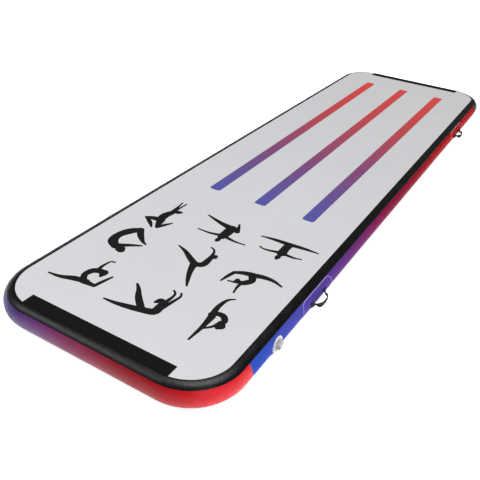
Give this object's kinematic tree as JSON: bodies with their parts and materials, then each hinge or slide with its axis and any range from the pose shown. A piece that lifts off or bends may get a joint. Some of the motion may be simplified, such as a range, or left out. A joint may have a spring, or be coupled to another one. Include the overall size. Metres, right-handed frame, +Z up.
{
  "type": "air track mat",
  "caption": "Long flat inflatable gymnastics mat with rounded edges and corners, end connector strips, side carrying handles and a side inflation valve.",
  "frame": {"origin": "centre of the mat's underside, on the floor plane", "axes": "+Y along the mat's length, away from the end nearest the valve; +X across the mat, towards the side that holds the valve; +Z up, through the thickness"},
  "size_m": [1.071, 3.5, 0.1023],
  "materials": {
    "deck_pvc": "matte, finely textured coated fabric",
    "base_pvc": "matte coated fabric",
    "wall_pvc": "satin printed coated fabric, fading along each band from blue through purple to red",
    "tape_pvc": "semi-gloss black coated tape",
    "inner_pvc": "uncoated grey, inside",
    "yarn": "white polyester yarn",
    "hook_and_loop": "black hook-and-loop pile",
    "webbing": "woven black webbing",
    "valve_plastic": "moulded light grey",
    "valve_rubber": "black rubber",
    "spring_steel": "bright spring wire"
  },
  "bodies": {
    "mat": {"top_deck": "deck_pvc", "bottom_deck": "base_pvc", "drop_stitch_core": "yarn", "inner_wall_tape": "inner_pvc", "side_wall_right": "wall_pvc", "side_wall_right_end": "wall_pvc", "valve_wall_panel": "wall_pvc", "side_wall_left": "wall_pvc", "end_wall_near": "wall_pvc", "end_wall_far": "wall_pvc", "top_seam_tape": "tape_pvc", "bottom_seam_tape": "tape_pvc", "connector_strip_near": "hook_and_loop", "connector_strip_far": "hook_and_loop", "valve_body": "valve_plastic", "valve_gasket": "valve_rubber", "valve_base_nut": "valve_plastic", "valve_spring": "spring_steel", "handle_patch_near_right": "wall_pvc", "strap_end_a_near_right": "webbing", "strap_end_b_near_right": "webbing", "handle_patch_near_left": "wall_pvc", "strap_end_a_near_left": "webbing", "strap_end_b_near_left": "webbing", "handle_patch_far_right": "wall_pvc", "strap_end_a_far_right": "webbing", "strap_end_b_far_right": "webbing", "handle_patch_far_left": "wall_pvc", "strap_end_a_far_left": "webbing", "strap_end_b_far_left": "webbing"},
    "valve_plunger": {"valve_plunger": "valve_plastic", "valve_diaphragm": "valve_rubber"},
    "cap_carrier": {"valve_cap_seal": "valve_rubber"},
    "valve_cap": {"valve_cap": "valve_plastic"},
    "handle_near_right": {"handle_loop_near_right": "webbing"},
    "handle_near_left": {"handle_loop_near_left": "webbing"},
    "handle_far_right": {"handle_loop_far_right": "webbing"},
    "handle_far_left": {"handle_loop_far_left": "webbing"}
  },
  "joints": [
    {"name": "cap_lift", "type": "slide", "parent": "mat", "child": "cap_carrier", "axis": [1, 0, 0], "range_m": [0, 0.03]},
    {"name": "cap_turn", "type": "hinge", "parent": "cap_carrier", "child": "valve_cap", "pos_m": [0.5, -1.335, 0.05], "axis": [1, 0, 0], "range_deg": [0, 90]},
    {"name": "plunger_press", "type": "slide", "parent": "mat", "child": "valve_plunger", "axis": [-1, 0, 0], "range_m": [0, 0.006], "stiffness_N_per_m": 300, "springref_m": -0.004, "deforming": ["valve_spring"]},
    {"name": "handle_near_right_swing", "type": "hinge", "parent": "mat", "child": "handle_near_right", "pos_m": [0.506, -1.018, 0.05], "axis": [0, -1, 0], "range_deg": [-68, 92], "stiffness_Nm_per_rad": 0.02},
    {"name": "handle_near_left_swing", "type": "hinge", "parent": "mat", "child": "handle_near_left", "pos_m": [-0.506, -1.018, 0.05], "axis": [0, 1, 0], "range_deg": [-68, 92], "stiffness_Nm_per_rad": 0.02},
    {"name": "handle_far_right_swing", "type": "hinge", "parent": "mat", "child": "handle_far_right", "pos_m": [0.506, 1.018, 0.05], "axis": [0, -1, 0], "range_deg": [-68, 92], "stiffness_Nm_per_rad": 0.02},
    {"name": "handle_far_left_swing", "type": "hinge", "parent": "mat", "child": "handle_far_left", "pos_m": [-0.506, 1.018, 0.05], "axis": [0, 1, 0], "range_deg": [-68, 92], "stiffness_Nm_per_rad": 0.02}
  ]
}
